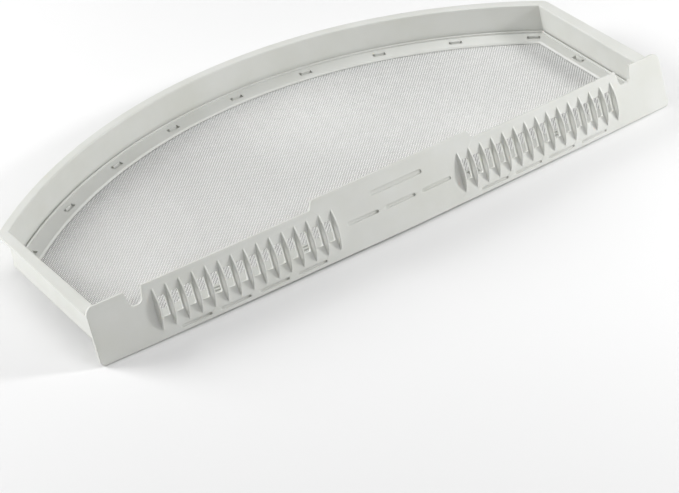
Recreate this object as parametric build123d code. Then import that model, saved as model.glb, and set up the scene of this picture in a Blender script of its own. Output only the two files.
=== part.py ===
from build123d import *
import math
import os

os.makedirs("parts", exist_ok=True)

# All sizes are in millimetres. X runs along the front plate, Y runs back, Z is up.
# While the parts are built, Y = 0 and Z = 0 lie on the line of the front plate's top edge.

# Front plate
PLATE_LENGTH = 420.0
PLATE_HEIGHT = 35.3
PLATE_THICKNESS = 2.0
PLATE_LEAN = 20.0
PLATE_BOW = 4.9
PLATE_TOP_CORNER = 5.0
PLATE_FOOT_CORNER = 3.0

# Raised middle of the plate, and the shallow finger pad on its face
RISE_HEIGHT = 5.5
RISE_HALF_TOP = 57.2
RISE_FLARE = 2.2
RISE_ROUND = 2.0
PAD_HALF = 38.0
PAD_SWELL = 0.6

# Locating notches in the plate's top edge
NOTCH_FROM_END = 30.5
NOTCH_MOUTH = 11.6
NOTCH_FOOT = 7.8
NOTCH_DEPTH = 9.9
NOTCH_ROUND = 3.4

# Fins, as many as fit before the notch, and the air windows between them
FIN_PITCH = 8.71
FIN_FIRST_X = 46.4
FIN_TO_NOTCH = 5.0
FIN_TOP = 4.4
FIN_FOOT_GAP = 5.3
FIN_STAND = 3.5
FIN_FOOT_WIDTH = 2.4
FIN_CREST_WIDTH = 1.1
FIN_CREST_ROUND = 0.5
FIN_ROOT = 1.2
WINDOW_WIDTH = 4.8
WINDOW_HEIGHT = 12.8
WINDOW_TOP = 10.1
WINDOW_ROUND = 0.6

# Plain recessed bars: one over three in the middle, and four in line under each row of fins
BAR_RECESS = 0.9
TITLE_BAR_DOWN = 5.4
TITLE_BAR_WIDTH = 2.8
TITLE_BAR_LENGTH = 38.0
MIDDLE_BAR_DOWN = 17.2
MIDDLE_BAR_WIDTH = 2.0
MIDDLE_BAR_LENGTH = 22.0
MIDDLE_BAR_PITCH = 27.0
FOOT_BAR_UP = 2.9
FOOT_BAR_WIDTH = 1.5
FOOT_BAR_LENGTH = 20.5
FOOT_BAR_PITCH = 26.5
FOOT_BAR_COUNT = 4

# The nub left by the moulding gate on the plate's lower edge
GATE_X = 31.4
GATE_WIDTH = 1.4
GATE_STAND = 0.5

# Levels, built up from the plate's lowest edge
TRAY_FOOT_RISE = 4.0
SHELF_THICKNESS = 1.2
LOWER_FRAME_THICKNESS = 1.3
MESH_THICKNESS = 0.3
UPPER_FRAME_THICKNESS = 1.4
WALL_HEIGHT = 18.0
SKIRT_HEIGHT = 13.0

# Plan of the tray: straight sides closed by one arc at the back
TRAY_DEPTH = 171.0
WALL_RADIUS = 313.0
WALL_THICKNESS = 1.8
BACK_SPLAY = 3.5
RIM_THICKNESS = 1.8
RIM_INSET = 1.3
RIM_TAPER = 2.4
RIM_SIDE_REACH = 9.2
RIM_BACK_REACH = 5.5
RIM_CORNER = 7.0
RIM_INNER_ROUND = 1.0
SKIRT_THICKNESS = 1.6
SKIRT_FROM_CORNER = 19.2
SHELF_WIDTH = 2.6

# Screen frames, from the wall inwards: gap, bead, land, slot, land, then the mesh's margin
FRAME_GAP = 0.9
BEAD_WIDTH = 1.0
BEAD_HEIGHT = 1.4
BEAD_ROUND = 0.35
BEAD_START = 2.0
BEAD_TO_SLOT_SIDE = 1.7
BEAD_TO_SLOT_BACK = 3.8
SLOT_LENGTH = 8.5
SLOT_WIDTH = 3.4
SLOT_TO_MESH_SIDE = 0.3
SLOT_TO_MESH_BACK = 1.4
SLOT_TO_MESH_FRONT = 1.3
MESH_MARGIN = 3.0
MESH_FRONT_MARGIN = 1.9
MESH_CLEARANCE = 0.5
OPENING_CHAMFER = 1.1
RAIL_GAP = 5.0
RAIL_WIDTH = 11.1

# Where the snap slots are along the wall and the rail
BACK_SLOT_COUNT = 9
BACK_SLOT_END_GAP = 12.5
SIDE_SLOT_FROM_CORNER = 41.6
RAIL_SLOT_COUNT = 5
RAIL_SLOT_PITCH = 62.5

# Snap hooks
HOOK_END_CLEARANCE = 1.25
HOOK_THICKNESS = 1.0
HOOK_CLEARANCE = 0.3
HOOK_BARB = 0.7
HOOK_BARB_HEIGHT = 0.6
BARB_CLEARANCE = 0.05

# Joints between the plate and the tray
PLATE_SHELF_INSET = 3.4
PLATE_SHELF_END_GAP = 0.4
GUSSET_COUNT = 7
GUSSET_END_INSET = 16.5
GUSSET_THICKNESS = 1.6
GUSSET_DEPTH = 8.0
GUSSET_TOP_SETBACK = 3.0
GUSSET_FOOT_RISE = 1.5
SPIGOT_DEPTH = 12.0
SPIGOT_CLEARANCE = 0.25
SPIGOT_FOOT_RISE = 1.5
SPIGOT_CHAMFER = 0.8

# Cutting allowances: past every part, just past a face, and how far blanks start in front
REACH = 80.0
OVERCUT = 1.0
BLANK_FRONT_Y = -30.0

# Sizes and places that follow from the ones above
LEAN = math.radians(PLATE_LEAN)
PLATE_HALF = PLATE_LENGTH / 2
PLATE_FOOT_LEVEL = -PLATE_HEIGHT * math.cos(LEAN)
TRAY_FOOT = PLATE_FOOT_LEVEL + TRAY_FOOT_RISE
SHELF_TOP = TRAY_FOOT + SHELF_THICKNESS
LOWER_FRAME_TOP = SHELF_TOP + LOWER_FRAME_THICKNESS
MESH_TOP = LOWER_FRAME_TOP + MESH_THICKNESS
LEDGE_TOP = MESH_TOP + UPPER_FRAME_THICKNESS
RIM_TOP = LEDGE_TOP + WALL_HEIGHT
SKIRT_FOOT = RIM_TOP - SKIRT_HEIGHT
NOTCH_X = PLATE_HALF - NOTCH_FROM_END
FIN_ROOM = NOTCH_X - NOTCH_MOUTH / 2 - FIN_TO_NOTCH - FIN_FIRST_X
FIN_COUNT = int(FIN_ROOM / FIN_PITCH) + 1
FIN_CHORD = PLATE_HEIGHT - FIN_TOP - FIN_FOOT_GAP
ARC_CENTRE_Y = TRAY_DEPTH - WALL_RADIUS
RIM_HALF_FRONT = PLATE_HALF - RIM_INSET
RIM_HALF_BACK = RIM_HALF_FRONT - RIM_TAPER
RIM_RADIUS = WALL_RADIUS + BACK_SPLAY + RIM_BACK_REACH
WALL_HALF = RIM_HALF_FRONT - RIM_SIDE_REACH
FRAME_HALF = WALL_HALF - FRAME_GAP
FRAME_RADIUS = WALL_RADIUS - FRAME_GAP
SLOT_SIDE_X = FRAME_HALF - BEAD_WIDTH - BEAD_TO_SLOT_SIDE - SLOT_WIDTH / 2
SLOT_RADIUS = FRAME_RADIUS - BEAD_WIDTH - BEAD_TO_SLOT_BACK - SLOT_WIDTH / 2
OPENING_HALF = SLOT_SIDE_X - SLOT_WIDTH / 2 - SLOT_TO_MESH_SIDE - MESH_MARGIN
OPENING_RADIUS = SLOT_RADIUS - SLOT_WIDTH / 2 - SLOT_TO_MESH_BACK - MESH_MARGIN
PLATE_PLANE = Plane(
    origin=(0, 0, 0), x_dir=(1, 0, 0), z_dir=(0, -math.cos(LEAN), math.sin(LEAN))
)


def bow_at(x):
    """How far the plate's face stands forward at x because the plate is bowed."""
    radius = (PLATE_HALF**2 + PLATE_BOW**2) / (2 * PLATE_BOW)
    return PLATE_BOW - radius + math.sqrt(radius**2 - x**2)


def bowed_profile(front_offset, back_offset):
    """The area between two copies of the plate's bowed line, seen along the plate."""
    end = PLATE_HALF + OVERCUT
    front_end = (end, bow_at(end) + front_offset)
    back_end = (end, bow_at(end) + back_offset)
    front = ThreePointArc(
        (-front_end[0], front_end[1]), (0, PLATE_BOW + front_offset), front_end
    )
    back = ThreePointArc(
        (-back_end[0], back_end[1]), (0, PLATE_BOW + back_offset), back_end
    )
    right = Line(front_end, back_end)
    left = Line((-front_end[0], front_end[1]), (-back_end[0], back_end[1]))
    return make_face(Curve() + [front, right, back, left])


def bowed_slab(front_offset, back_offset):
    """A slab that follows the bow, in the plate's own frame, taller than the plate."""
    profile = Plane.XZ * bowed_profile(front_offset, back_offset)
    return extrude(profile, amount=REACH, both=True)


def rounded_near(sketch, points, radius):
    """Rounds the sketch's corners that lie nearest the given points."""
    corners = [
        sketch.vertices().sort_by_distance((point[0], point[1], 0))[0] for point in points
    ]
    return fillet(corners, radius)


def plate_outline():
    """The plate's outline in its own plane, with the raised middle and both notches."""
    outline = Pos(0, -PLATE_HEIGHT / 2) * Rectangle(PLATE_LENGTH, PLATE_HEIGHT)
    foot_half = RISE_HALF_TOP + RISE_FLARE
    rise = make_face(
        Polyline(
            (-foot_half, -OVERCUT),
            (-foot_half, 0),
            (-RISE_HALF_TOP, RISE_HEIGHT),
            (RISE_HALF_TOP, RISE_HEIGHT),
            (foot_half, 0),
            (foot_half, -OVERCUT),
            close=True,
        )
    )
    outline = outline + rise
    step_points = []
    for side in (-1, 1):
        step_points.append((side * foot_half, 0))
        step_points.append((side * RISE_HALF_TOP, RISE_HEIGHT))
    outline = rounded_near(outline, step_points, RISE_ROUND)
    outline = rounded_near(outline, [(-PLATE_HALF, 0), (PLATE_HALF, 0)], PLATE_TOP_CORNER)
    foot_points = [(-PLATE_HALF, -PLATE_HEIGHT), (PLATE_HALF, -PLATE_HEIGHT)]
    outline = rounded_near(outline, foot_points, PLATE_FOOT_CORNER)
    for side in (-1, 1):
        outline = outline - notch_shape(side * NOTCH_X)
    return outline


def notch_shape(x):
    """One tapered notch with a rounded foot, open at the plate's top edge."""
    spread = (NOTCH_MOUTH - NOTCH_FOOT) / 2 / NOTCH_DEPTH
    mouth = NOTCH_MOUTH / 2 + spread * OVERCUT
    shape = make_face(
        Polyline(
            (x - mouth, OVERCUT),
            (x + mouth, OVERCUT),
            (x + NOTCH_FOOT / 2, -NOTCH_DEPTH),
            (x - NOTCH_FOOT / 2, -NOTCH_DEPTH),
            close=True,
        )
    )
    foot = [(x - NOTCH_FOOT / 2, -NOTCH_DEPTH), (x + NOTCH_FOOT / 2, -NOTCH_DEPTH)]
    return rounded_near(shape, foot, NOTCH_ROUND)


def fin_blank():
    """One fin: a tapered disc cut to the part that stands on the plate, face at zero."""
    half_chord = FIN_CHORD / 2
    radius = (half_chord**2 + FIN_STAND**2) / (2 * FIN_STAND)
    root = radius - FIN_STAND - FIN_ROOT
    flare = (FIN_FOOT_WIDTH - FIN_CREST_WIDTH) / 2 / FIN_STAND
    root_half = FIN_FOOT_WIDTH / 2 + flare * FIN_ROOT
    crest_half = FIN_CREST_WIDTH / 2
    profile = make_face(
        Polyline(
            (-root_half, root),
            (-crest_half, radius),
            (crest_half, radius),
            (root_half, root),
            close=True,
        )
    )
    crest_round = min(FIN_CREST_ROUND, crest_half * 0.9)
    profile = rounded_near(
        profile, [(-crest_half, radius), (crest_half, radius)], crest_round
    )
    disc = revolve(profile, axis=Axis.X, revolution_arc=360)
    centre_v = -FIN_TOP - half_chord
    disc = Pos(0, centre_v, FIN_STAND - radius) * disc
    keep = Box(REACH, REACH, REACH, align=(Align.CENTER, Align.CENTER, Align.MIN))
    return disc & (Pos(0, centre_v, -FIN_ROOT) * keep)


def window_cutter():
    """One window, standing through the plate."""
    shape = RectangleRounded(WINDOW_WIDTH, WINDOW_HEIGHT, WINDOW_ROUND)
    return extrude(Pos(0, -WINDOW_TOP - WINDOW_HEIGHT / 2) * shape, amount=REACH, both=True)


def pad_swell(outline):
    """The finger pad: a shallow barrel that swells out of the plate's middle."""
    radius = PAD_HALF**2 / (2 * (PAD_SWELL + PLATE_BOW - bow_at(PAD_HALF)))
    crest = PLATE_BOW + PAD_SWELL
    barrel = Rot(90, 0, 0) * Cylinder(radius, REACH * 2)
    barrel = Pos(0, 0, crest - radius) * barrel
    blank = extrude(outline, amount=crest + OVERCUT)
    behind_face = PLATE_BOW - PLATE_THICKNESS / 2
    block = Pos(0, 0, behind_face) * Box(
        PAD_HALF * 2 + OVERCUT * 2, REACH * 2, REACH, align=(Align.CENTER, Align.CENTER, Align.MIN)
    )
    return blank & barrel & block


def bar_rows():
    """The recessed bars, as (down the plate, width, length, centre) for each bar."""
    bars = [(TITLE_BAR_DOWN, TITLE_BAR_WIDTH, TITLE_BAR_LENGTH, 0.0)]
    for place in (-1, 0, 1):
        centre = place * MIDDLE_BAR_PITCH
        bars.append((MIDDLE_BAR_DOWN, MIDDLE_BAR_WIDTH, MIDDLE_BAR_LENGTH, centre))
    row_middle = FIN_FIRST_X + (FIN_COUNT - 1) * FIN_PITCH / 2
    down = PLATE_HEIGHT - FOOT_BAR_UP
    for side in (-1, 1):
        for index in range(FOOT_BAR_COUNT):
            along = (index - (FOOT_BAR_COUNT - 1) / 2) * FOOT_BAR_PITCH
            bars.append((down, FOOT_BAR_WIDTH, FOOT_BAR_LENGTH, side * (row_middle + along)))
    return bars


def face_bars():
    """The plain recessed bars, as cutters in the plate's own frame."""
    cutters = []
    for down, width, length, x in bar_rows():
        swell = PAD_SWELL * max(0.0, 1 - (x / PAD_HALF) ** 2)
        floor = bow_at(x) + swell - BAR_RECESS
        bar = extrude(Pos(x, -down) * SlotOverall(length, width), amount=REACH)
        cutters.append(Pos(0, 0, floor) * bar)
    return cutters


def plate_shelf():
    """The shelf behind the plate that carries the front rail, with its gussets."""
    half = WALL_HALF - SHELF_WIDTH - PLATE_SHELF_END_GAP
    back = opening_front_y() - PLATE_SHELF_INSET
    shelf = Box(
        half * 2, REACH, SHELF_THICKNESS, align=(Align.CENTER, Align.MAX, Align.MIN)
    )
    shelf = Pos(0, back, TRAY_FOOT) * shelf
    foot = PLATE_FOOT_LEVEL + GUSSET_FOOT_RISE
    top_back = back - GUSSET_TOP_SETBACK
    rib_face = make_face(
        Polyline(
            (top_back, TRAY_FOOT),
            (top_back - GUSSET_DEPTH, foot),
            (-REACH, foot),
            (-REACH, TRAY_FOOT),
            close=True,
        )
    )
    rib = extrude(Plane.YZ * rib_face, amount=GUSSET_THICKNESS / 2, both=True)
    pitch = (half - GUSSET_END_INSET) * 2 / (GUSSET_COUNT - 1)
    ribs = []
    for index in range(GUSSET_COUNT):
        x = (index - (GUSSET_COUNT - 1) / 2) * pitch
        ribs.append(Pos(x, 0, 0) * rib)
    return shelf + ribs


def end_spigots():
    """Blocks behind the plate's ends that plug into the hollow rims of the side walls."""
    inner = WALL_HALF + WALL_THICKNESS + SPIGOT_CLEARANCE
    outer = rim_half_at(SPIGOT_DEPTH) - SKIRT_THICKNESS - SPIGOT_CLEARANCE
    top = RIM_TOP - RIM_THICKNESS - SPIGOT_CLEARANCE
    height = top - SKIRT_FOOT - SPIGOT_FOOT_RISE
    block = Box(
        outer - inner, REACH, height, align=(Align.CENTER, Align.MAX, Align.MAX)
    )
    block = chamfer(block.edges().filter_by(Axis.Z).group_by(Axis.Y)[-1], SPIGOT_CHAMFER)
    spigots = []
    for side in (-1, 1):
        spigots.append(Pos(side * (inner + outer) / 2, SPIGOT_DEPTH, top) * block)
    return spigots


def in_front_of_back_face():
    """Everything in front of the plate's back face, in the shared frame."""
    return PLATE_PLANE.location * bowed_slab(REACH, -PLATE_THICKNESS)


def front_plate():
    """The grille plate with its fins, windows, pad, bars, shelf and spigots."""
    outline = plate_outline()
    blank = extrude(outline, amount=REACH, both=True)
    plate = blank & bowed_slab(0, -PLATE_THICKNESS)
    plate = plate + pad_swell(outline)
    fin = fin_blank()
    window = window_cutter()
    fins = []
    windows = []
    for side in (-1, 1):
        for index in range(FIN_COUNT):
            x = side * (FIN_FIRST_X + index * FIN_PITCH)
            fins.append(Pos(x, 0, bow_at(x)) * fin)
        for index in range(FIN_COUNT - 1):
            x = side * (FIN_FIRST_X + (index + 0.5) * FIN_PITCH)
            windows.append(Pos(x, 0, 0) * window)
    plate = plate - windows - face_bars()
    plate = plate + fins
    gate = Pos(GATE_X, -PLATE_HEIGHT, bow_at(GATE_X) - PLATE_THICKNESS / 2) * Box(
        GATE_WIDTH, GATE_STAND * 2, PLATE_THICKNESS / 2
    )
    plate = PLATE_PLANE.location * (plate + gate)
    behind = (plate_shelf() + end_spigots()) - in_front_of_back_face()
    return plate + behind


def rim_corner_y():
    """Depth of the corners where the side rims meet the back rim."""
    return ARC_CENTRE_Y + math.sqrt(RIM_RADIUS**2 - RIM_HALF_BACK**2)


def rim_half_at(y):
    """Half the tray's width over the rims at depth y: the sides spread to the front."""
    return RIM_HALF_FRONT - RIM_TAPER * y / rim_corner_y()


def d_face(half, radius, front_y, front_half=None):
    """A D-shaped area: a straight front, two sides and one arc."""
    front_half = half if front_half is None else front_half
    corner_y = ARC_CENTRE_Y + math.sqrt(radius**2 - half**2)
    lines = Polyline(
        (-half, corner_y), (-front_half, front_y), (front_half, front_y), (half, corner_y)
    )
    arc = ThreePointArc((half, corner_y), (0, ARC_CENTRE_Y + radius), (-half, corner_y))
    return make_face(Curve() + [lines, arc])


def d_prism(half, radius, front_y, low, high):
    """A D-shaped block between two levels."""
    face = d_face(half, radius, front_y)
    return extrude(Pos(0, 0, low) * face, amount=high - low)


def d_splayed(half, radius, front_y, low, high):
    """A D-shaped block whose back leans outwards on the way up."""
    foot = Pos(0, 0, low) * d_face(half, radius, front_y)
    head = Pos(0, 0, high) * d_face(half, radius + BACK_SPLAY, front_y)
    return loft([foot, head])


def rim_plan():
    """The rim's outline from above: sides that close in to the back, and rounded corners."""
    plan = d_face(RIM_HALF_BACK, RIM_RADIUS, BLANK_FRONT_Y, rim_half_at(BLANK_FRONT_Y))
    corners = [(-RIM_HALF_BACK, rim_corner_y()), (RIM_HALF_BACK, rim_corner_y())]
    return rounded_near(plan, corners, RIM_CORNER)


def rim_inner_edges(body):
    """The two straight edges and the arc where the rim turns down into the tray."""
    found = []
    for edge in body.edges().group_by(Axis.Z)[-1]:
        middle = edge @ 0.5
        beyond = math.hypot(middle.X, middle.Y - ARC_CENTRE_Y)
        in_plan = abs(middle.X) < WALL_HALF + OVERCUT and beyond < WALL_RADIUS + BACK_SPLAY + OVERCUT
        if in_plan and middle.Y > BLANK_FRONT_Y + OVERCUT:
            found.append(edge)
    return found


def tray_wall():
    """The wall round the screen: sides, a splayed back, a rim, end skirts and a shelf."""
    outer_half = WALL_HALF + WALL_THICKNESS
    outer_radius = WALL_RADIUS + WALL_THICKNESS
    body = d_prism(outer_half, outer_radius, BLANK_FRONT_Y, TRAY_FOOT, LEDGE_TOP)
    body = body + d_splayed(outer_half, outer_radius, BLANK_FRONT_Y, LEDGE_TOP, RIM_TOP)
    body = body + extrude(Pos(0, 0, RIM_TOP) * rim_plan(), amount=-RIM_THICKNESS)
    past_front = BLANK_FRONT_Y - OVERCUT
    cavity = d_prism(WALL_HALF, WALL_RADIUS, past_front, SHELF_TOP, LEDGE_TOP)
    cavity = cavity + d_splayed(WALL_HALF, WALL_RADIUS, past_front, LEDGE_TOP, RIM_TOP)
    body = body - cavity
    hole_half = WALL_HALF - SHELF_WIDTH
    hole_radius = WALL_RADIUS - SHELF_WIDTH
    body = body - d_prism(hole_half, hole_radius, past_front, TRAY_FOOT - OVERCUT, SHELF_TOP)
    body = fillet(rim_inner_edges(body), RIM_INNER_ROUND)
    for side in (-1, 1):
        body = body + end_skirt(side)
    return body - in_front_of_back_face()


def end_skirt(side):
    """The flat skirt that hangs from one side's rim."""
    back_y = rim_corner_y() - SKIRT_FROM_CORNER
    front_outer = side * rim_half_at(BLANK_FRONT_Y)
    back_outer = side * rim_half_at(back_y)
    outline = Polyline(
        (front_outer, BLANK_FRONT_Y),
        (back_outer, back_y),
        (back_outer - side * SKIRT_THICKNESS, back_y),
        (front_outer - side * SKIRT_THICKNESS, BLANK_FRONT_Y),
        close=True,
    )
    height = RIM_TOP - RIM_THICKNESS / 2 - SKIRT_FOOT
    return extrude(Pos(0, 0, SKIRT_FOOT) * make_face(outline), amount=height, dir=(0, 0, 1))


def rail_edge_y(x, level):
    """Y of the front rail's bowed front edge, a set gap behind the plate's back face."""
    stand = bow_at(x) - PLATE_THICKNESS
    return level * math.tan(LEAN) - stand / math.cos(LEAN) + RAIL_GAP


def opening_front_y():
    """Depth of the screen opening's straight front edge."""
    return rail_edge_y(0, LEDGE_TOP) + RAIL_WIDTH


def frame_outline():
    """The outer edge of both screen frames: clear of the wall, bowed along the front."""
    corner_y = ARC_CENTRE_Y + math.sqrt(FRAME_RADIUS**2 - FRAME_HALF**2)
    end_y = rail_edge_y(FRAME_HALF, LEDGE_TOP)
    mid_y = rail_edge_y(0, LEDGE_TOP)
    front = ThreePointArc((-FRAME_HALF, end_y), (0, mid_y), (FRAME_HALF, end_y))
    right = Line((FRAME_HALF, end_y), (FRAME_HALF, corner_y))
    back_middle = (0, ARC_CENTRE_Y + FRAME_RADIUS)
    back = ThreePointArc((FRAME_HALF, corner_y), back_middle, (-FRAME_HALF, corner_y))
    left = Line((-FRAME_HALF, corner_y), (-FRAME_HALF, end_y))
    return make_face(Curve() + [front, right, back, left])


def frame_opening(margin, front_margin):
    """The screen's opening in both frames, grown by a margin."""
    front_y = opening_front_y() - front_margin
    return d_face(OPENING_HALF + margin, OPENING_RADIUS + margin, front_y)


def slot_places():
    """Where the snap slots are: (x, y, angle), the angle turning local +Y outwards."""
    places = []
    end_gap = math.degrees(BACK_SLOT_END_GAP / SLOT_RADIUS)
    last = math.degrees(math.asin(WALL_HALF / SLOT_RADIUS)) - end_gap
    for index in range(BACK_SLOT_COUNT):
        turn = last * (index * 2 / (BACK_SLOT_COUNT - 1) - 1)
        x = SLOT_RADIUS * math.sin(math.radians(turn))
        y = ARC_CENTRE_Y + SLOT_RADIUS * math.cos(math.radians(turn))
        places.append((x, y, -turn))
    side_y = ARC_CENTRE_Y + math.sqrt(WALL_RADIUS**2 - WALL_HALF**2) - SIDE_SLOT_FROM_CORNER
    for side in (-1, 1):
        places.append((side * SLOT_SIDE_X, side_y, -side * 90.0))
    rail_y = opening_front_y() - MESH_FRONT_MARGIN - SLOT_TO_MESH_FRONT - SLOT_WIDTH / 2
    for index in range(RAIL_SLOT_COUNT):
        x = (index - (RAIL_SLOT_COUNT - 1) / 2) * RAIL_SLOT_PITCH
        places.append((x, rail_y, 180.0))
    return places


def ledge_bead():
    """The bead that stands on the ledge's outer rim, along the sides and the back."""
    inside = d_face(FRAME_HALF - BEAD_WIDTH, FRAME_RADIUS - BEAD_WIDTH, -REACH)
    behind_rail = Pos(0, BEAD_START) * Rectangle(
        PLATE_LENGTH, WALL_RADIUS, align=(Align.CENTER, Align.MIN)
    )
    plan = (frame_outline() - inside) & behind_rail
    bead = extrude(Pos(0, 0, LEDGE_TOP) * plan, amount=BEAD_HEIGHT)
    crest_edges = bead.faces().sort_by(Axis.Z)[-1].edges()
    long_edges = [edge for edge in crest_edges if edge.length > BEAD_WIDTH * 2]
    return fillet(long_edges, BEAD_ROUND)


def upper_screen_frame():
    """The ledge round the screen, with a bead along its rim and the snap slots."""
    plan = frame_outline() - frame_opening(0, 0)
    frame = extrude(Pos(0, 0, MESH_TOP) * plan, amount=UPPER_FRAME_THICKNESS)
    top_edges = frame.faces().sort_by(Axis.Z)[-1].inner_wires()[0].edges()
    frame = chamfer(top_edges, OPENING_CHAMFER)
    frame = frame + ledge_bead()
    slot = Box(SLOT_LENGTH, SLOT_WIDTH, REACH)
    for x, y, angle in slot_places():
        frame = frame - Pos(x, y, 0) * Rot(0, 0, angle) * slot
    return frame


def screen_mesh():
    """The woven screen, as one thin sheet held between the frames."""
    sheet = frame_opening(MESH_MARGIN, MESH_FRONT_MARGIN)
    return extrude(Pos(0, 0, LOWER_FRAME_TOP) * sheet, amount=MESH_THICKNESS)


def snap_hook():
    """One hook: a post that stands at the slot's outer side, with a barb over the ledge."""
    barb_low = LEDGE_TOP + BARB_CLEARANCE
    barb_high = barb_low + HOOK_BARB_HEIGHT
    root = LOWER_FRAME_TOP - LOWER_FRAME_THICKNESS / 2
    out = SLOT_WIDTH / 2 - HOOK_CLEARANCE
    outline = Polyline(
        (out - HOOK_THICKNESS, root),
        (out, root),
        (out, barb_low),
        (out + HOOK_BARB, barb_low),
        (out, barb_high),
        (out - HOOK_THICKNESS, barb_high),
        close=True,
    )
    half_length = SLOT_LENGTH / 2 - HOOK_END_CLEARANCE
    return extrude(Plane.YZ * make_face(outline), amount=half_length, both=True)


def lower_screen_frame():
    """The retaining ring under the screen, with a land round the mesh and the hooks."""
    plan = frame_outline() - frame_opening(MESH_CLEARANCE, MESH_CLEARANCE)
    frame = extrude(Pos(0, 0, SHELF_TOP) * plan, amount=LOWER_FRAME_THICKNESS)
    margin = MESH_MARGIN + MESH_CLEARANCE
    land = frame_outline() - frame_opening(margin, MESH_FRONT_MARGIN + MESH_CLEARANCE)
    frame = frame + extrude(Pos(0, 0, LOWER_FRAME_TOP) * land, amount=MESH_THICKNESS)
    hook = snap_hook()
    for x, y, angle in slot_places():
        frame = frame + Pos(x, y, 0) * Rot(0, 0, angle) * hook
    return frame


def build():
    """Builds every part, moves them to the shared origin and writes them out."""
    parts = {
        "front_plate": front_plate(),
        "tray_wall": tray_wall(),
        "upper_screen_frame": upper_screen_frame(),
        "screen_mesh": screen_mesh(),
        "lower_screen_frame": lower_screen_frame(),
    }
    box = Compound(children=[part.solids()[0] for part in parts.values()]).bounding_box()
    shift = Pos(0, -(box.min.Y + box.max.Y) / 2, -box.min.Z)
    for name, part in parts.items():
        solids = part.solids()
        print(name, len(solids), round(part.volume, 1))
        export_step(shift * solids[0], f"parts/{name}.step")
    print("shift", shift.position)


build()
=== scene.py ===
"""The looks of a clothes dryer's lint filter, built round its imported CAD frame.

The moulded parts keep their CAD shapes and get rounded edges and a moulded finish. The
screen is woven here from single threads, in strips that meet edge to edge.
"""

import logging
import math
from dataclasses import dataclass
from enum import Enum

import bpy
import numpy as np
from mathutils import Matrix, Vector


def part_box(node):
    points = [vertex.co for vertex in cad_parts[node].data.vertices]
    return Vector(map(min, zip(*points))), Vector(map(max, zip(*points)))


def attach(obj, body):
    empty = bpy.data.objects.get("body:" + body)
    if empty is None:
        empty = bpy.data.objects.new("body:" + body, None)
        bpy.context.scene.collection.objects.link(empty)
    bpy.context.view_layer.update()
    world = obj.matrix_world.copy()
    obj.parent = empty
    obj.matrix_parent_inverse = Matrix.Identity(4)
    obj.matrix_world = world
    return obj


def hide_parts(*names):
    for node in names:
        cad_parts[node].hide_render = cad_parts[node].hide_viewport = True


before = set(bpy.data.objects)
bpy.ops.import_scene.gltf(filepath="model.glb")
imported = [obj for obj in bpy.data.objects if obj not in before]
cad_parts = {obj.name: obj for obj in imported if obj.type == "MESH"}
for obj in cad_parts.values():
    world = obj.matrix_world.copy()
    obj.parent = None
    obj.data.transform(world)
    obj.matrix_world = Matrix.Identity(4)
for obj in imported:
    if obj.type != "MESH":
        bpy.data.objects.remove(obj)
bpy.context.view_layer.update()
LOG = logging.getLogger("lint_filter")
MM = 0.001


def linear(code: str) -> tuple[float, float, float, float]:
    """Turns an sRGB hex colour into linear light.

    Args:
        code: six hex digits, red first.

    Returns:
        Red, green, blue and an alpha of one.
    """
    parts = [int(code[i : i + 2], 16) / 255 for i in (0, 2, 4)]
    light = [c / 12.92 if c <= 0.04045 else ((c + 0.055) / 1.055) ** 2.4 for c in parts]
    return (light[0], light[1], light[2], 1.0)


def add_node(
    tree: bpy.types.NodeTree, kind: str, settings: dict | None = None, links: dict | None = None
) -> bpy.types.Node:
    """Adds one node with its settings and links.

    Args:
        tree: the node tree that takes the node.
        kind: the node's Blender type name.
        settings: property names, or input names or numbers, and their values.
        links: input names or numbers, and the output sockets that feed them.

    Returns:
        The new node.
    """
    node = tree.nodes.new(kind)
    for name, value in (settings or {}).items():
        if isinstance(name, str) and hasattr(node, name):
            setattr(node, name, value)
        else:
            node.inputs[name].default_value = value
    for name, socket in (links or {}).items():
        tree.links.new(socket, node.inputs[name])
    return node


def noise(
    tree: bpy.types.NodeTree,
    place: bpy.types.NodeSocket,
    size: float,
    detail: float,
    roughness: float = 0.5,
) -> bpy.types.NodeSocket:
    """Adds a noise whose features are about the given size.

    Args:
        tree: the node tree that takes the noise.
        place: the coordinates it is drawn in.
        size: the length of its largest features, in metres.
        detail: how many finer layers it has.
        roughness: how strong the finer layers are.

    Returns:
        The noise's value.
    """
    settings = {"Scale": 1 / size, "Detail": detail, "Roughness": roughness}
    return add_node(tree, "ShaderNodeTexNoise", settings, {"Vector": place}).outputs["Fac"]


def ramp(
    tree: bpy.types.NodeTree,
    value: bpy.types.NodeSocket,
    span: tuple[float, float],
    result: tuple[float, float] = (0.0, 1.0),
) -> bpy.types.NodeSocket:
    """Adds a straight ramp that is level outside its span.

    Args:
        tree: the node tree that takes the ramp.
        value: what the ramp reads.
        span: the values where it starts and ends.
        result: what it gives there.

    Returns:
        The ramp's result.
    """
    settings = {
        "From Min": span[0],
        "From Max": span[1],
        "To Min": result[0],
        "To Max": result[1],
    }
    return add_node(tree, "ShaderNodeMapRange", settings, {"Value": value}).outputs["Result"]


def bump(
    tree: bpy.types.NodeTree,
    height: bpy.types.NodeSocket,
    depth: float,
    under: bpy.types.NodeSocket | None = None,
    strength: float = 1.0,
) -> bpy.types.NodeSocket:
    """Adds a relief over a surface, or over another relief.

    Args:
        tree: the node tree that takes the relief.
        height: the relief's height, from 0 to 1.
        depth: how deep a height of 1 is, in metres.
        under: the normal it lies on, where it isn't the surface's own.
        strength: how much of the relief shows.

    Returns:
        The normal with the relief on it.
    """
    links = {"Height": height} if under is None else {"Height": height, "Normal": under}
    settings = {"Strength": strength, "Distance": depth}
    return add_node(tree, "ShaderNodeBump", settings, links).outputs["Normal"]


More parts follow.
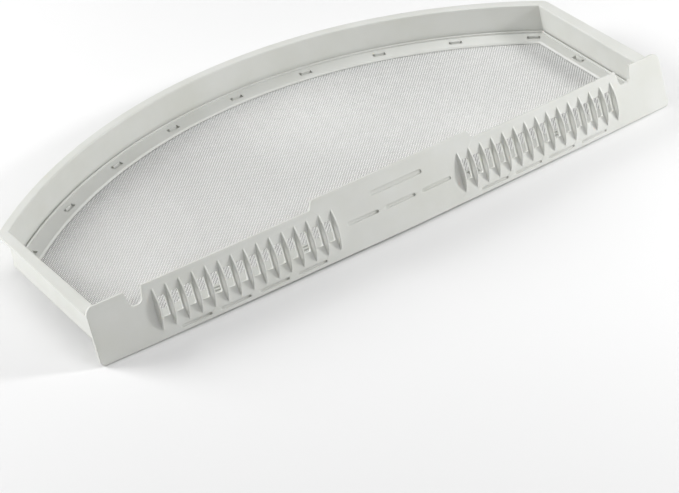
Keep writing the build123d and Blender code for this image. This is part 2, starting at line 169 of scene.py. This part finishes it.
def mesh_object(name: str, points: np.ndarray, quads: np.ndarray) -> bpy.types.Object:
    """Puts points and four-cornered faces into a new object at the origin.

    Args:
        name: the piece's name.
        points: an array of places, one row each, in metres.
        quads: an array of point numbers, four to a row.

    Returns:
        The new object, smooth shaded and linked to the scene.
    """
    mesh = bpy.data.meshes.new(name)
    mesh.vertices.add(len(points))
    mesh.vertices.foreach_set("co", points.astype(np.float32).ravel())
    mesh.loops.add(quads.size)
    mesh.loops.foreach_set("vertex_index", quads.astype(np.int32).ravel())
    mesh.polygons.add(len(quads))
    mesh.polygons.foreach_set("loop_start", np.arange(0, quads.size, 4, dtype=np.int32))
    mesh.polygons.foreach_set("use_smooth", np.ones(len(quads), dtype=bool))
    mesh.update(calc_edges=True)
    mesh.validate()
    piece = bpy.data.objects.new(name, mesh)
    bpy.context.scene.collection.objects.link(piece)
    return piece


class Mould(Enum):
    """Which way the plastic flowed as a part was filled."""

    ALONG_X = (0.12, 1.0, 1.0)
    ROUND = (1.0, 1.0, 1.0)


@dataclass(frozen=True)
class MouldedPolypropylene:
    """Light grey polypropylene, injection moulded in a lightly grained tool.

    The tool's grain breaks the shine into a satin bloom, the flow of the melt leaves
    long faint streaks in the gloss, and the natural colour clouds a little from place
    to place. Polypropylene lets a little light in, and the tool's edges are rounded, so
    every edge carries a soft line of light.
    """

    name: str
    colour: str
    cloud_colour: str
    flow: Mould
    roughness: float = 0.38
    roughness_swing: float = 0.10
    grain: float = 0.9 * MM
    grain_depth: float = 0.012 * MM
    cloud: float = 34 * MM
    streak: float = 7 * MM
    sink: float = 19 * MM
    sink_depth: float = 0.05 * MM
    cloud_span: tuple[float, float] = (0.35, 0.7)
    streak_span: tuple[float, float] = (0.3, 0.7)
    edge: float = 0.7 * MM
    edge_samples: int = 6
    light_share: float = 0.12
    depth_of_light: float = 1.2 * MM
    spread_of_light: tuple[float, float, float] = (1.0, 0.9, 0.75)
    ior: float = 1.49

    def build(self) -> bpy.types.Material:
        """Makes the material. The real grain is about 0.2 mm, and is drawn coarser to show.

        Returns:
            The material.
        """
        material = bpy.data.materials.new(self.name)
        material.use_nodes = True
        tree = material.node_tree
        shader = tree.nodes["Principled BSDF"]
        place = add_node(tree, "ShaderNodeTexCoord").outputs["Object"]
        flowing = add_node(
            tree, "ShaderNodeMapping", {"Scale": self.flow.value}, {"Vector": place}
        ).outputs["Vector"]
        tint = add_node(
            tree,
            "ShaderNodeMix",
            {"data_type": "RGBA", 6: linear(self.colour), 7: linear(self.cloud_colour)},
            {0: ramp(tree, noise(tree, place, self.cloud, 4.0, 0.55), self.cloud_span)},
        )
        swing = self.roughness_swing / 2
        gloss = ramp(
            tree,
            noise(tree, flowing, self.streak, 5.0, 0.6),
            self.streak_span,
            (self.roughness - swing, self.roughness + swing),
        )
        edge = add_node(
            tree, "ShaderNodeBevel", {"samples": self.edge_samples, "Radius": self.edge}
        )
        sunk = bump(
            tree, noise(tree, flowing, self.sink, 1.0), self.sink_depth, edge.outputs["Normal"]
        )
        grained = bump(tree, noise(tree, place, self.grain, 3.0, 0.65), self.grain_depth, sunk)
        tree.links.new(tint.outputs[2], shader.inputs["Base Color"])
        tree.links.new(gloss, shader.inputs["Roughness"])
        tree.links.new(grained, shader.inputs["Normal"])
        shader.inputs["IOR"].default_value = self.ior
        shader.inputs["Subsurface Weight"].default_value = self.light_share
        shader.inputs["Subsurface Scale"].default_value = self.depth_of_light
        shader.inputs["Subsurface Radius"].default_value = self.spread_of_light
        return material


@dataclass(frozen=True)
class DrawnPolyester:
    """Polyester monofilament, drawn through a die and woven.

    Each thread is a smooth clear rod, and its tone wanders a little along the loom. Its top
    keeps its own colour, and its lower sides are painted dark: painted shade for the
    shadow inside the weave.
    """

    name: str = "drawn_polyester_thread"
    colour: str = "FCFCFA"
    dull_colour: str = "F2F2F0"
    # Painted shade: the dark colour painted on the threads' lower sides.
    painted_shade_colour: str = "2E2E2C"
    roughness: float = 0.36
    tone_length: float = 5.5 * MM
    tone_span: tuple[float, float] = (0.35, 0.75)
    ior: float = 1.57

    def build(self, painted_shade_height: float, crown: float) -> bpy.types.Material:
        """Makes the material.

        Args:
            painted_shade_height: the height below which a thread is dark.
            crown: the height above which it is bright.

        Returns:
            The material.
        """
        material = bpy.data.materials.new(self.name)
        material.use_nodes = True
        tree = material.node_tree
        shader = tree.nodes["Principled BSDF"]
        place = add_node(tree, "ShaderNodeTexCoord").outputs["Object"]
        tone = ramp(tree, noise(tree, place, self.tone_length, 6.0, 0.7), self.tone_span)
        tint = add_node(
            tree,
            "ShaderNodeMix",
            {"data_type": "RGBA", 6: linear(self.colour), 7: linear(self.dull_colour)},
            {0: tone},
        )
        # Painted shade: below the first height the thread's colour is mixed towards the dark shade
        # colour, standing in for the shadow between the threads.
        height = add_node(tree, "ShaderNodeSeparateXYZ", links={"Vector": place})
        unshaded_share = ramp(tree, height.outputs["Z"], (painted_shade_height, crown))
        depth = add_node(
            tree,
            "ShaderNodeMix",
            {"data_type": "RGBA", 6: linear(self.painted_shade_colour)},
            {0: unshaded_share, 7: tint.outputs[2]},
        )
        tree.links.new(depth.outputs[2], shader.inputs["Base Color"])
        shader.inputs["Roughness"].default_value = self.roughness
        shader.inputs["IOR"].default_value = self.ior
        return material


@dataclass(frozen=True)
class PaperTable:
    """White matt paper, laid flat on a table."""

    name: str = "matt_paper_table"
    colour: str = "EAEAEA"
    roughness: float = 0.92
    fibre: float = 2.5 * MM
    fibre_depth: float = 0.03 * MM
    fibre_strength: float = 0.3
    shine: float = 0.1

    def build(self) -> bpy.types.Material:
        """Makes the material, with the paper's faint fibre.

        Returns:
            The material.
        """
        material = bpy.data.materials.new(self.name)
        material.use_nodes = True
        tree = material.node_tree
        shader = tree.nodes["Principled BSDF"]
        place = add_node(tree, "ShaderNodeTexCoord").outputs["Object"]
        fibre = bump(
            tree,
            noise(tree, place, self.fibre, 3.0),
            self.fibre_depth,
            strength=self.fibre_strength,
        )
        tree.links.new(fibre, shader.inputs["Normal"])
        shader.inputs["Base Color"].default_value = linear(self.colour)
        shader.inputs["Roughness"].default_value = self.roughness
        shader.inputs["Specular IOR Level"].default_value = self.shine
        return material


@dataclass
class MouldedParts:
    """The moulded parts: the CAD nodes as they are, with broken edges and their finish.

    Each mesh's smallest edges hold its bevel to a hair's width, which is enough to keep its
    corners from looking razor sharp. The finish rounds them further in its shading.
    """

    body_finish: MouldedPolypropylene
    frame_finish: MouldedPolypropylene
    edge: float = 0.42 * MM
    weld: float = 0.002 * MM
    edge_steps: int = 2
    face_pull: int = 80
    edge_angle: float = math.radians(38)
    body_nodes: tuple[str, ...] = ("front_plate", "tray_wall")
    frame_nodes: tuple[str, ...] = ("upper_screen_frame", "lower_screen_frame")

    def break_edges(self, part: bpy.types.Object) -> None:
        """Joins the part's loose triangles and rounds its sharp edges, as a real tool does.

        Args:
            part: the CAD node, whose own mesh stays as it is.
        """
        weld = part.modifiers.new("join_faces", "WELD")
        weld.merge_threshold = self.weld
        bevel = part.modifiers.new("broken_edges", "BEVEL")
        bevel.width = self.edge
        bevel.segments = self.edge_steps
        bevel.limit_method = "ANGLE"
        bevel.angle_limit = self.edge_angle
        bevel.use_clamp_overlap = True
        shade = part.modifiers.new("even_shading", "WEIGHTED_NORMAL")
        shade.mode = "FACE_AREA_WITH_ANGLE"
        shade.weight = self.face_pull

    def dress(self) -> None:
        """Gives every moulded CAD node its finish and its broken edges."""
        for finish, names in (
            (self.body_finish, self.body_nodes),
            (self.frame_finish, self.frame_nodes),
        ):
            material = finish.build()
            for name in names:
                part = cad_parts[name]
                for slot in part.material_slots:
                    slot.material = material
                self.break_edges(part)
                LOG.info("dressed %s in %s", name, finish.name)


@dataclass
class WovenScreen:
    """The screen: a plain weave, stretched between the two frames.

    The loom holds the weft straight, so only the warp bends over and under it. The real
    threads are taken to be about 0.25 mm thick and 1.1 mm apart. They are drawn wider to
    show.
    """

    finish: DrawnPolyester
    pitch: float = 1.1 * MM
    row_pitch: float = 1.05 * MM
    warp_width: float = 0.92 * MM
    weft_width: float = 0.46 * MM
    thread_height: float = 0.28 * MM
    crimp: float = 0.26 * MM
    weft_crimp: float = 0.02 * MM
    opening_radius: float = 299.5 * MM
    margin: float = 3.0 * MM
    front_margin: float = 1.9 * MM
    flat_band: float = 1.3 * MM
    end_inset: float = 0.3 * MM
    stray: float = 0.012 * MM
    uneven: float = 0.05
    ripple: float = 0.04 * MM
    ripple_wide: float = 23 * MM
    ripple_deep: float = 31 * MM
    ripple_slant: float = 41 * MM
    ripple_start: tuple[float, float] = (0.7, 0.4)
    # The heights, under and over the weave's middle, where the threads' painted shade starts and
    # ends.
    painted_shade_drop: float = 0.09 * MM
    crown_rise: float = 0.13 * MM
    strips: int = 5
    sides: int = 4
    seed: int = 11

    def __post_init__(self) -> None:
        """Reads the screen's outline from its CAD node and spaces out the threads."""
        low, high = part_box("screen_mesh")
        self.half = high.x - self.end_inset
        self.radius = self.opening_radius + self.margin - self.end_inset
        self.centre_y = high.y - (self.opening_radius + self.margin)
        self.front = low.y + self.end_inset
        self.level = (low.z + high.z) / 2
        self.thin = (high.z - low.z) / (2 * self.crimp + self.thread_height)
        columns = int(self.half / self.pitch)
        rows = int((high.y - self.front) / self.row_pitch)
        draw = np.random.default_rng(self.seed)
        self.column = np.arange(-columns, columns + 1)
        self.row = np.arange(rows)
        self.column_x = self.column * self.pitch + draw.normal(0, self.stray, self.column.size)
        self.row_y = self.front + (self.row + 0.5) * self.row_pitch
        self.row_y = self.row_y + draw.normal(0, self.stray, self.row.size)
        self.column_girth = 1 + self.uneven * draw.uniform(-1, 1, self.column.size)
        self.row_girth = 1 + self.uneven * draw.uniform(-1, 1, self.row.size)

    def back(self, x: np.ndarray) -> np.ndarray:
        """Gives the depth of the outline's arc at x: the circle round centre_y, at that x."""
        return self.centre_y + np.sqrt(self.radius**2 - np.minimum(np.abs(x), self.half) ** 2)

    def room(self, x: np.ndarray, y: np.ndarray) -> np.ndarray:
        """Gives the share of its full height that the weave has at each place.

        The distance to the nearest edge of the opening, as a share of the flat band, runs
        from the pinched height between the frames to the full height inside.

        Args:
            x: places along the plate.
            y: depths.

        Returns:
            A share from the pinched one to 1.
        """
        side = self.half - (self.margin - self.end_inset) - np.abs(x)
        arc = self.opening_radius - np.hypot(x, y - self.centre_y)
        near = y - (self.front - self.end_inset + self.front_margin)
        inside = np.minimum(np.minimum(side, arc), near)
        return self.thin + (1 - self.thin) * np.clip(inside / self.flat_band, 0, 1)

    def slack(self, x: np.ndarray, y: np.ndarray) -> np.ndarray:
        """Gives the screen's faint ripple: a slow wave added to a crossed pair of waves.

        Args:
            x: places along the plate.
            y: depths.

        Returns:
            How far the screen stands off level at each place.
        """
        first, second = self.ripple_start
        crossed = np.sin(x / self.ripple_wide + first) * np.sin(y / self.ripple_deep + second)
        slanted = np.sin((x + y) / self.ripple_slant)
        return self.ripple * (crossed + slanted) / 2

    def tubes(
        self,
        x: np.ndarray,
        y: np.ndarray,
        lift: np.ndarray,
        width: np.ndarray,
        across: tuple[float, float],
    ) -> tuple[np.ndarray, np.ndarray]:
        """Carries a flat diamond profile along a family of threads and closes both ends.

        A ring's corner is its centre, plus the thread's half width times the cosine of the
        corner's turn along the level direction across the thread, plus the half height
        times the sine upwards. All heights are scaled by the room there is.

        Args:
            x: ring centres along the plate, one row for each thread.
            y: ring centres in depth, the same shape.
            lift: how far each ring stands over or under the weave's middle.
            width: each thread's width, the same shape.
            across: the level direction across the threads.

        Returns:
            The points and the quads.
        """
        keep = (np.abs(x) <= self.half) & (y >= self.front) & (y <= self.back(x))
        keep &= keep.sum(1, keepdims=True) > 1
        turn = np.arange(self.sides) * 2 * math.pi / self.sides
        wide = width[..., None] / 2 * np.cos(turn)
        high = self.thread_height / 2 * np.sin(turn)
        room = self.room(x, y)
        height = self.level + room[..., None] * (lift[..., None] + high)
        height = height + (self.slack(x, y) * (room - self.thin))[..., None]
        points = np.stack(
            [x[..., None] + across[0] * wide, y[..., None] + across[1] * wide, height], -1
        )
        ring = np.cumsum(keep).reshape(keep.shape) - 1
        joined = keep[:, :-1] & keep[:, 1:]
        here = ring[:, :-1][joined][:, None] * self.sides
        there = ring[:, 1:][joined][:, None] * self.sides
        corner = np.arange(self.sides)[None]
        after = (corner + 1) % self.sides
        walls = np.stack([here + corner, there + corner, there + after, here + after], -1)
        first = keep.copy()
        first[:, 1:] &= ~keep[:, :-1]
        last = keep.copy()
        last[:, :-1] &= ~keep[:, 1:]
        start = ring[first][:, None] * self.sides + corner
        end = ring[last][:, None] * self.sides + corner[:, ::-1]
        return points[keep].reshape(-1, 3), np.concatenate([walls.reshape(-1, 4), start, end])

    def strip(self, low: int, high: int, number: int) -> bpy.types.Object:
        """Weaves one strip, from warp thread low up to but without warp thread high.

        A warp's lift is its crimp times the cosine of half a turn for each crossing, counted
        along it and from warp to warp, so it is up and down by turns. A weft's is the
        opposite, with a much smaller crimp. The weft runs half a pitch past the outer
        warps, level with the middle, where the next strip's weft meets it.

        Args:
            low: the first warp thread's place in the list.
            high: one past the last.
            number: the strip's number.

        Returns:
            The strip.
        """
        chosen = self.column[low:high]
        warp_x = self.column_x[low:high]
        lift = self.crimp * np.cos(math.pi * (chosen[:, None] + self.row[None]))
        warp = self.tubes(
            np.broadcast_to(warp_x[:, None], lift.shape),
            np.broadcast_to(self.row_y[None], lift.shape),
            lift,
            np.broadcast_to(self.warp_width * self.column_girth[low:high, None], lift.shape),
            (1.0, 0.0),
        )
        over = np.concatenate([[chosen[0] - 0.5], chosen, [chosen[-1] + 0.5]])
        lift = -self.weft_crimp * np.cos(math.pi * (over[None] + self.row[:, None]))
        weft = self.tubes(
            np.broadcast_to(np.interp(over, self.column, self.column_x)[None], lift.shape),
            np.broadcast_to(self.row_y[:, None], lift.shape),
            lift,
            np.broadcast_to(self.weft_width * self.row_girth[:, None], lift.shape),
            (0.0, -1.0),
        )
        points = np.concatenate([warp[0], weft[0]])
        quads = np.concatenate([warp[1], weft[1] + len(warp[0])])
        piece = mesh_object(f"screen_weave_{number}", points, quads)
        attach(piece, "root")
        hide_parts("screen_mesh")
        return piece

    def build(self) -> None:
        """Weaves all the strips, each with the same share of the screen's area."""
        # The threads are painted dark below the first height and keep their own colour above the
        # second: painted shade.
        material = self.finish.build(self.level - self.painted_shade_drop, self.level + self.crown_rise)
        grown = np.cumsum(self.back(self.column_x) - self.front)
        shares = np.arange(1, self.strips) / self.strips
        cuts = [0, *np.searchsorted(grown, shares * grown[-1]).tolist(), self.column.size]
        for number in range(self.strips):
            piece = self.strip(cuts[number], cuts[number + 1], number + 1)
            piece.data.materials.append(material)


@dataclass(frozen=True)
class SoftLight:
    """One soft box: where it stands, what it looks at, its width and its power."""

    name: str
    place: tuple[float, float, float]
    aim: tuple[float, float, float]
    width: float
    watts: float
    colour: str = "FFFFFF"

    def build(self) -> None:
        """Hangs the light in the scene."""
        data = bpy.data.lights.new(self.name, "AREA")
        data.shape = "SQUARE"
        data.size = self.width
        data.energy = self.watts
        data.color = linear(self.colour)[:3]
        light = bpy.data.objects.new(self.name, data)
        bpy.context.scene.collection.objects.link(light)
        light.location = self.place
        direction = Vector(self.aim) - Vector(self.place)
        light.rotation_euler = direction.to_track_quat("-Z", "Y").to_euler()


@dataclass
class Studio:
    """The table, the soft boxes, the room's own light and the camera."""

    paper: PaperTable
    lights: tuple[SoftLight, ...]
    room_light: float = 0.22
    azimuth: float = 33.66
    elevation: float = 34.99
    roll: float = -3.84
    distance: float = 1.5
    aim: tuple[float, float, float] = (-0.06202, -0.11743, 0.0284)
    lens: float = 139.34
    sensor: float = 36.0
    clip: tuple[float, float] = (0.05, 20.0)
    table_half: float = 4.0
    table_cells: int = 8

    def camera(self) -> None:
        """Sets the camera from its angles round the aim point and its distance.

        Azimuth turns the line of sight from +Y towards +X, elevation tips it down, and
        roll turns the camera about it, right side down when negative.
        """
        turn, tip, roll = (math.radians(a) for a in (self.azimuth, self.elevation, self.roll))
        sight = Vector(
            (math.cos(tip) * math.sin(turn), math.cos(tip) * math.cos(turn), -math.sin(tip))
        )
        level = Vector((math.cos(turn), -math.sin(turn), 0))
        above = level.cross(sight)
        right = math.cos(roll) * level + math.sin(roll) * above
        up = right.cross(sight)
        data = bpy.data.cameras.new("studio_camera")
        data.sensor_width = self.sensor
        data.lens = self.lens
        data.clip_start, data.clip_end = self.clip
        camera = bpy.data.objects.new("studio_camera", data)
        bpy.context.scene.collection.objects.link(camera)
        turned = Matrix((right, up, -sight)).transposed().to_4x4()
        camera.matrix_world = Matrix.Translation(Vector(self.aim) - sight * self.distance) @ turned
        bpy.context.scene.camera = camera

    def table(self) -> None:
        """Lays the paper on the table: a flat grid that stands level with the part's foot."""
        lines = self.table_cells + 1
        steps = np.linspace(-self.table_half, self.table_half, lines)
        x, y = np.meshgrid(steps, steps)
        points = np.stack([x.ravel(), y.ravel(), np.zeros(x.size)], 1)
        cell = np.arange(self.table_cells)
        corner = (cell[:, None] * lines + cell[None]).ravel()
        quads = np.stack([corner, corner + 1, corner + lines + 1, corner + lines], 1)
        paper = mesh_object("paper_table", points, quads)
        paper.data.materials.append(self.paper.build())

    def build(self) -> None:
        """Sets up the whole studio."""
        world = bpy.data.worlds.new("studio_room")
        world.use_nodes = True
        world.node_tree.nodes["Background"].inputs["Color"].default_value = linear("FFFFFF")
        world.node_tree.nodes["Background"].inputs["Strength"].default_value = self.room_light
        bpy.context.scene.world = world
        bpy.context.scene.view_settings.view_transform = "Standard"
        for light in self.lights:
            light.build()
        self.table()
        self.camera()


def main() -> None:
    """Builds the filter's looks and the studio, in order."""
    logging.basicConfig(level=logging.INFO, format="%(message)s")
    body = MouldedPolypropylene(
        "moulded_polypropylene_body", "D7D8D4", "D1D2CC", Mould.ALONG_X
    )
    rim = MouldedPolypropylene(
        "moulded_polypropylene_frame", "D2D3CF", "CCCDC8", Mould.ROUND, roughness=0.34
    )
    MouldedParts(body, rim).dress()
    WovenScreen(DrawnPolyester()).build()
    middle = (0.0, -0.03, 0.01)
    lights = (
        SoftLight("key_right", (0.77, -0.47, 0.42), middle, 0.16, 5.5),
        SoftLight("key_top", (0.6, -0.4, 0.9), middle, 0.4, 0.5),
        SoftLight("low_left", (-1.1, 0.15, 0.35), middle, 0.8, 0.9),
        SoftLight("back_left", (-0.8, 0.75, 0.55), middle, 0.6, 14.3),
        SoftLight("overhead", (0.0, 0.0, 1.3), middle, 0.8, 3.0),
        SoftLight("front", (0.35, -0.9, 1.05), middle, 0.6, 3.2),
    )
    Studio(PaperTable(), lights).build()


if __name__ == "__main__":
    main()
